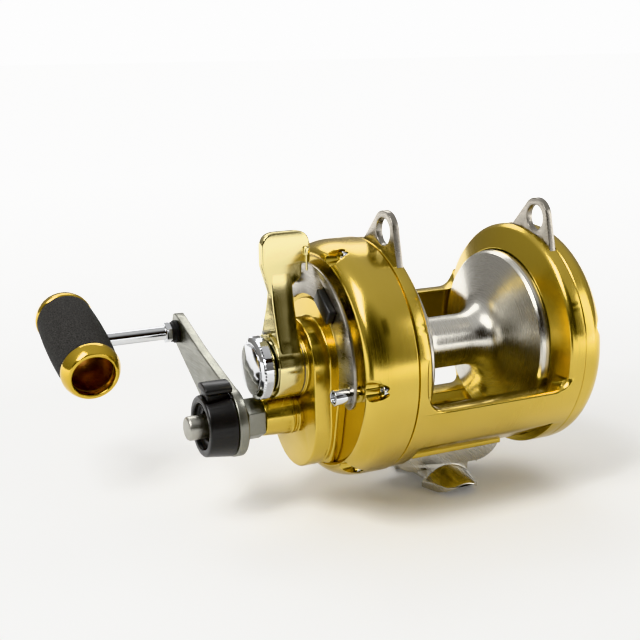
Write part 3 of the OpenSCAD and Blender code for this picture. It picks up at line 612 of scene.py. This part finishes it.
EASED = {       # node: width of the broken edge in mm
    "gear_housing": 0.6, "shaft_sleeve": 0.4,
    "quadrant_plate": 0.25, "quadrant_standoff": 0.25, "harness_lug_left": 0.35, "harness_lug_right": 0.35,
    "quadrant_spacers": 0.15, "reel_foot": 0.5, "crank_arm": 0.6, "crank_collar": 0.35, "shift_housing": 0.9,
    "shift_latch": 0.7, "shift_button": 0.5, "knob_post": 0.25, "post_washers": 0.25, "strike_button": 0.6,
    "click_button": 0.4, "lever_seal": 0.2, "lever_detent": 0.2, "lever_washer": 0.1,
    "free_side_screws": 0.2, "quadrant_screw": 0.2, "foot_screws": 0.2,
    "grip_cap_front": 0.15, "grip_cap_rear": 0.15, "grip_foam": 0.2, "grip_core": 0.15, "grip_hub": 0.15,
}
for node, width in EASED.items():
    stands_for(eased(node, node + "_finished", width), node, finish=foot_finish if node == "reel_foot" else None)
frame_piece()
handle_side_plate()
side_screws()
free_side_plate()
preset_knob()
preset_cap()
spool_piece()
drag_lever()

# ---------------------------------------------------------------- studio

MIDDLE = (0, 0, 0.06)       # what the lamps and flags face


def camera():
    """The camera looks down on the crank side from the front left, as a product shot does."""
    azimuth, elevation, roll = math.radians(-25.516), math.radians(13.565), math.radians(-0.870)
    back = Vector((math.sin(azimuth) * math.cos(elevation), -math.cos(azimuth) * math.cos(elevation),
                   math.sin(elevation)))
    right = Vector((math.cos(azimuth), math.sin(azimuth), 0))
    up = back.cross(right)
    turned_right = right * math.cos(roll) + up * math.sin(roll)
    turned_up = up * math.cos(roll) - right * math.sin(roll)
    data = bpy.data.cameras.new("camera")
    data.lens = 63.11
    data.sensor_width = 36.0
    data.clip_start = 0.01
    view = bpy.data.objects.new("camera", data)
    bpy.context.scene.collection.objects.link(view)
    looks_at, distance = Vector((-59.97, -8.0, 77.908)) * MM, 0.471438
    place = looks_at + back * distance
    view.matrix_world = Matrix((
        (turned_right.x, turned_up.x, back.x, place.x), (turned_right.y, turned_up.y, back.y, place.y),
        (turned_right.z, turned_up.z, back.z, place.z), (0, 0, 0, 1)))
    bpy.context.scene.camera = view


def soft_box(name, place, width, height, power):
    """A rectangular lamp at a place, turned to the middle of the object."""
    data = bpy.data.lights.new(name, "AREA")
    data.shape = "RECTANGLE"
    data.size, data.size_y, data.energy = width, height, power
    light = bpy.data.objects.new(name, data)
    bpy.context.scene.collection.objects.link(light)
    light.location = place
    light.rotation_euler = (Vector(MIDDLE) - Vector(place)).to_track_quat("-Z", "Y").to_euler()


def table():
    """A white table with a painted glow that grows away from the object, so that it fades into the white room."""
    clear_selection()
    floor_z = cad_bounds[0][2] - 0.0005
    bpy.ops.mesh.primitive_plane_add(size=40, location=(0, 0, floor_z))
    floor = named("floor")
    # Matt white table paint, with a painted glow in its emission that grows away from the object and hides the
    # table's far edge.
    material, tree, shader = new_material("white_table_with_painted_glow", roughness=0.85, specular_ior_level=0.1)
    shader.inputs["Base Color"].default_value = linear("#F2F2F1")
    shader.inputs["Emission Color"].default_value = linear("#FFFFFF")
    away = add(tree, "ShaderNodeVectorMath", [(0, object_place(tree, Vector((-0.04, -0.02, floor_z))))],
               operation="LENGTH")
    glow = add(tree, "ShaderNodeMapRange", [("Value", away.outputs["Value"])],
               [("From Min", 0.25), ("From Max", 1.3), ("To Min", 0.08), ("To Max", 2.2)])
    # painted glow: emission strength rises with distance from the object
    tree.links.new(glow.outputs[0], shader.inputs["Emission Strength"])
    paint(floor, material)


def room():
    """The room that lights and mirrors in the metal: pale above, warm grey below, dark behind the camera."""
    world = bpy.data.worlds.new("studio")
    bpy.context.scene.world = world
    world.use_nodes = True
    tree = world.node_tree
    tree.nodes.clear()
    seen = add(tree, "ShaderNodeBackground", values=[("Color", linear("#FFFFFF")), ("Strength", 4.0)])
    where = add(tree, "ShaderNodeTexCoord")
    parts = add(tree, "ShaderNodeSeparateXYZ", [("Vector", where.outputs["Generated"])])
    height = add(tree, "ShaderNodeMapRange", [("Value", parts.outputs["Z"])],
                 [("From Min", -0.1), ("From Max", 0.9), ("To Min", 0.0), ("To Max", 1.0)])
    ramp = add(tree, "ShaderNodeValToRGB", [("Fac", height.outputs[0])])
    ramp.color_ramp.elements[0].color = linear("#8A8680")
    ramp.color_ramp.elements[1].color = linear("#F0F0F0")
    facing = add(tree, "ShaderNodeVectorMath", [(0, where.outputs["Generated"])], operation="DOT_PRODUCT")
    facing.inputs[1].default_value = (-0.42, -0.88, 0.23)
    shade = add(tree, "ShaderNodeMapRange", [("Value", facing.outputs["Value"])],
                [("From Min", 0.6), ("From Max", 0.88), ("To Min", 1.0), ("To Max", 0.0)])
    dimmed = add(tree, "ShaderNodeMix", [("Factor", shade.outputs[0]), (7, ramp.outputs[0])],
                 [(6, linear("#2A2520"))], data_type="RGBA")
    lit = add(tree, "ShaderNodeBackground", [("Color", dimmed.outputs[2])], [("Strength", 0.8)])
    path = add(tree, "ShaderNodeLightPath")
    mix = add(tree, "ShaderNodeMixShader",
              [(0, path.outputs["Is Camera Ray"]), (1, lit.outputs[0]), (2, seen.outputs[0])])
    add(tree, "ShaderNodeOutputWorld", [("Surface", mix.outputs[0])])


def lamps():
    """Three soft boxes, and two dark flags out of the camera's sight for contrast in the metal."""
    soft_box("key", (-0.55, -0.25, 0.75), 0.3, 0.55, 6)
    soft_box("fill", (0.8, -0.75, 0.35), 0.3, 0.8, 2.5)
    soft_box("rim", (0.1, 0.75, 0.8), 0.9, 0.4, 4)
    for name, place, size in (("flag_low", (-0.34, -0.22, 0.07), 0.2), ("flag_high", (0.12, -0.5, 0.42), 0.16)):
        bpy.ops.mesh.primitive_plane_add(size=size, location=place)
        flag = named(name)
        flag.rotation_euler = (Vector(MIDDLE) - Vector(place)).to_track_quat("Z", "Y").to_euler()
        flag.visible_camera = False
        flag.visible_shadow = False
        # Black velvet: it gives back almost no light.
        black, tree, shader = new_material(name + "_black_velvet", roughness=1.0, specular_ior_level=0.0)
        shader.inputs["Base Color"].default_value = linear("#1A1410")
        paint(flag, black)


camera()
table()
room()
lamps()
bpy.context.scene.view_settings.view_transform = "Khronos PBR Neutral"
